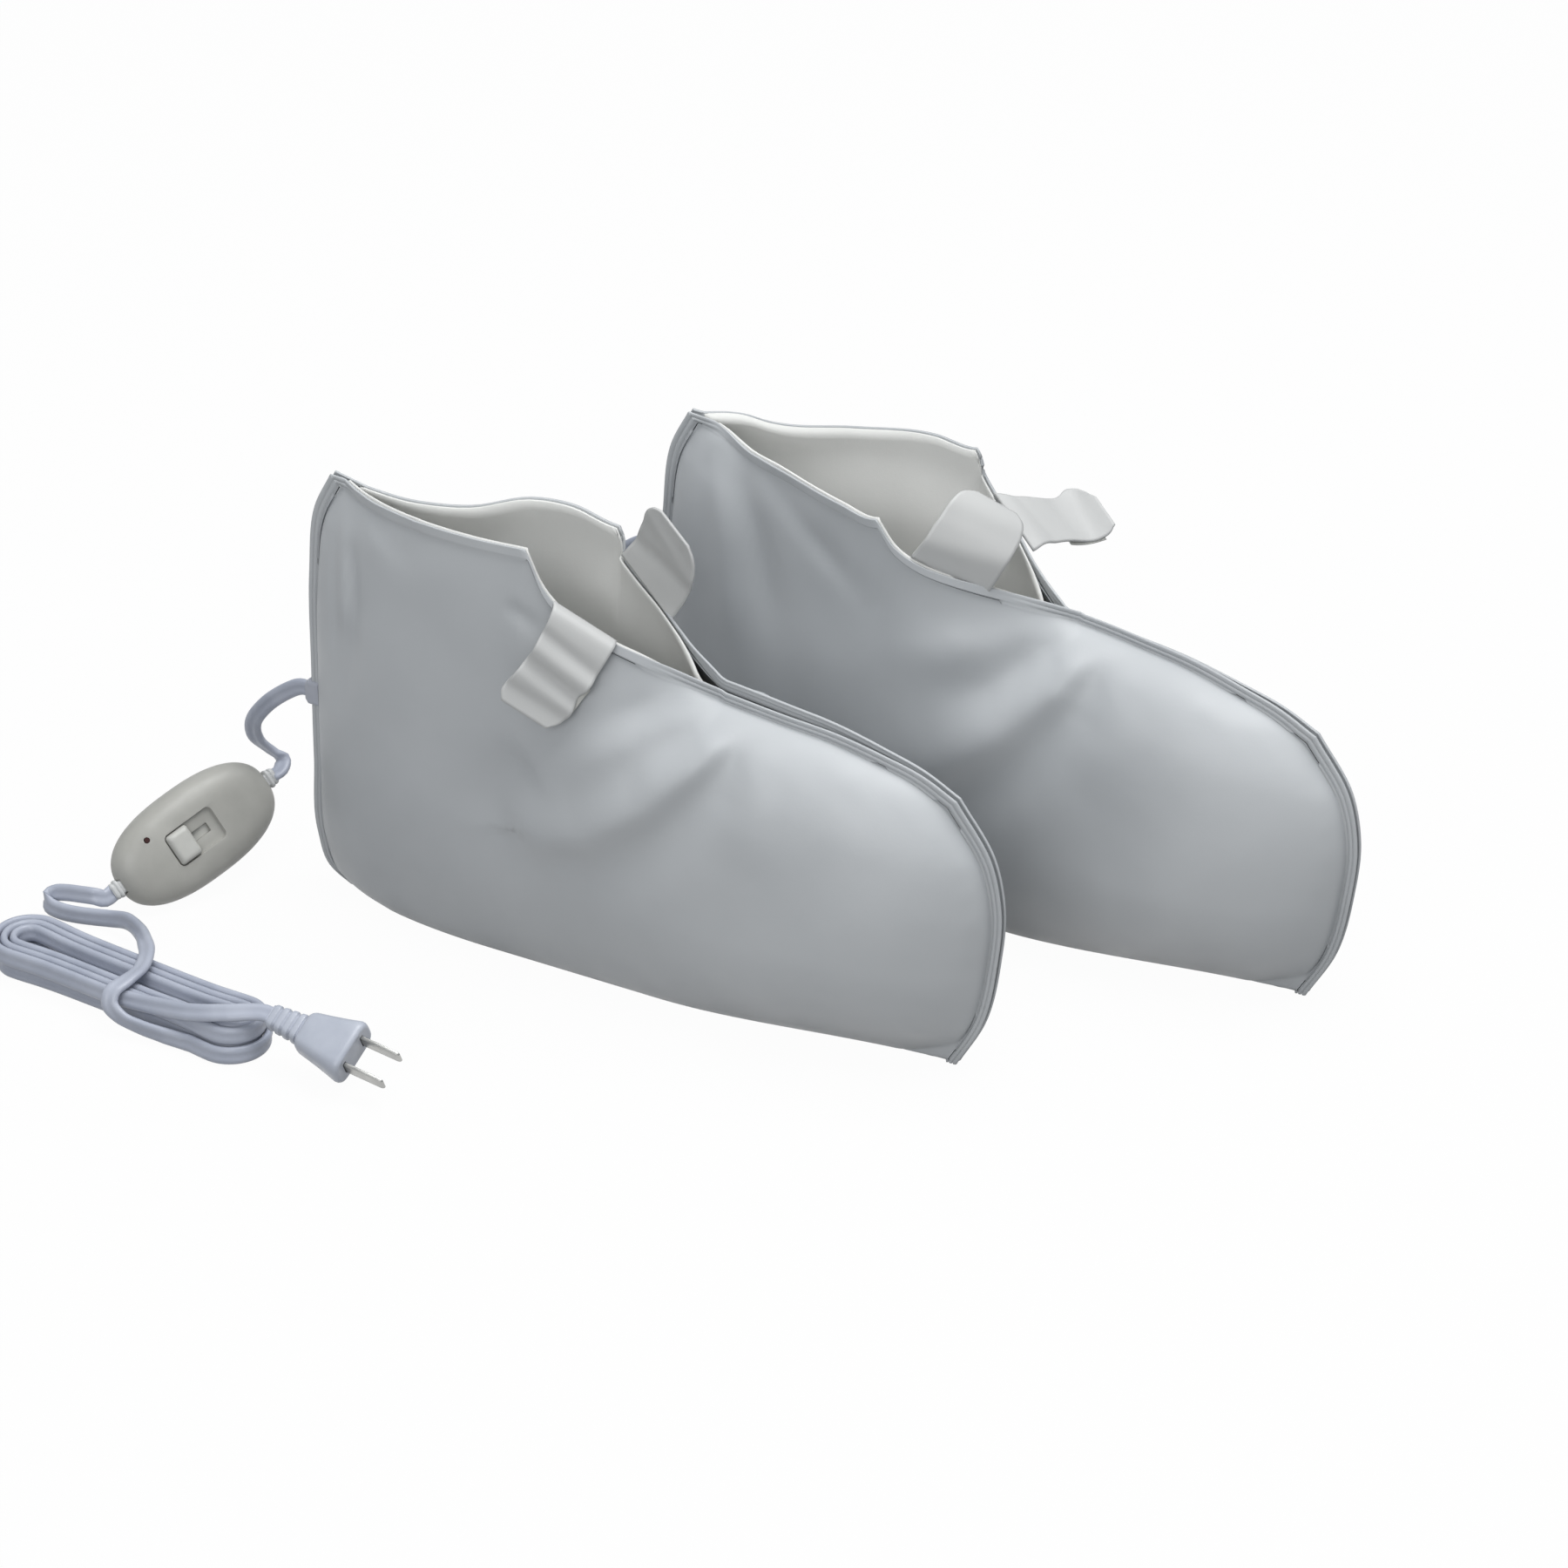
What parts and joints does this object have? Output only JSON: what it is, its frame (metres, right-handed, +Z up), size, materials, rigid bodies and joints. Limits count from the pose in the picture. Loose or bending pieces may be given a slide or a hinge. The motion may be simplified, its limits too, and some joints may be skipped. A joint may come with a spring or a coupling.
{
  "type": "heated foot booties",
  "caption": "Pair of soft vinyl heated booties with fleece lining, folding strap tabs, a slide-switch hand controller, link and lead cords and a folded mains cord with a two-blade plug.",
  "frame": {"origin": "middle of the booties' and controller's footprint, on the surface that they stand on", "axes": "+X from heel to toe, +Y from the near bootie to the far one, +Z up"},
  "size_m": [0.4995, 0.3187, 0.2044],
  "materials": {
    "vinyl": "soft grey-white vinyl, satin",
    "heating_felt": "needled felt carrier",
    "heating_wire": "silicone-coated heating wire",
    "fleece": "short grey fleece",
    "hook": "woven hook tape",
    "black_plastic": "moulded black plastic",
    "controller_plastic": "moulded warm grey plastic, satin",
    "knob_plastic": "moulded light grey plastic",
    "board": "green circuit board",
    "lens": "dark indicator lens",
    "steel": "zinc-plated steel",
    "cord_vinyl": "soft bluish light grey vinyl",
    "blade": "nickel-plated brass"
  },
  "bodies": {
    "booties": {"circuit_board": "board", "controller_bottom_shell": "controller_plastic", "controller_screw_1": "steel", "controller_screw_2": "steel", "controller_top_cover": "controller_plastic", "far_bootie_left_heating_pad": "heating_felt", "far_bootie_left_heating_wire": "heating_wire", "far_bootie_left_lining": "fleece", "far_bootie_left_side": "vinyl", "far_bootie_link_gland": "cord_vinyl", "far_bootie_right_heating_pad": "heating_felt", "far_bootie_right_heating_wire": "heating_wire", "far_bootie_right_lining": "fleece", "far_bootie_right_side": "vinyl", "far_bootie_thermal_cutout": "black_plastic", "indicator_lens": "lens", "lead_cord": "cord_vinyl", "lead_strain_relief": "cord_vinyl", "link_cord": "cord_vinyl", "mains_cord": "cord_vinyl", "mains_cord_hank": "cord_vinyl", "mains_cord_tail": "cord_vinyl", "mains_strain_relief": "cord_vinyl", "near_bootie_lead_gland": "cord_vinyl", "near_bootie_left_heating_pad": "heating_felt", "near_bootie_left_heating_wire": "heating_wire", "near_bootie_left_lining": "fleece", "near_bootie_left_side": "vinyl", "near_bootie_link_gland": "cord_vinyl", "near_bootie_right_heating_pad": "heating_felt", "near_bootie_right_heating_wire": "heating_wire", "near_bootie_right_lining": "fleece", "near_bootie_right_side": "vinyl", "near_bootie_thermal_cutout": "black_plastic", "plug_blade_1": "blade", "plug_blade_2": "blade", "plug_body": "cord_vinyl", "slide_switch": "black_plastic"},
    "near_right_tab": {"near_bootie_right_tab": "vinyl", "near_bootie_hook_patch": "hook"},
    "near_left_tab": {"near_bootie_left_tab": "vinyl"},
    "far_right_tab": {"far_bootie_right_tab": "vinyl"},
    "far_left_tab": {"far_bootie_left_tab": "vinyl", "far_bootie_hook_patch": "hook"},
    "knob": {"slide_knob": "knob_plastic"}
  },
  "joints": [
    {"name": "near_right_tab_fold", "type": "hinge", "parent": "booties", "child": "near_right_tab", "pos_m": [-0.02716, -0.07228, 0.16449], "axis": [0.8113, 0.2649, -0.5212], "range_deg": [-175, 0]},
    {"name": "near_left_tab_fold", "type": "hinge", "parent": "booties", "child": "near_left_tab", "pos_m": [-0.02716, -0.03332, 0.16449], "axis": [0.8113, -0.2649, -0.5212], "range_deg": [-95, 60]},
    {"name": "far_right_tab_fold", "type": "hinge", "parent": "booties", "child": "far_right_tab", "pos_m": [0.07184, 0.03227, 0.16449], "axis": [0.7836, 0.3641, -0.5034], "range_deg": [-90, 95]},
    {"name": "far_left_tab_fold", "type": "hinge", "parent": "booties", "child": "far_left_tab", "pos_m": [0.07184, 0.08813, 0.16449], "axis": [0.7836, -0.3641, -0.5034], "range_deg": [-35, 160]},
    {"name": "knob_slide", "type": "slide", "parent": "booties", "child": "knob", "axis": [0.3349, 0.8957, 0.2924], "range_m": [0, 0.011]}
  ]
}
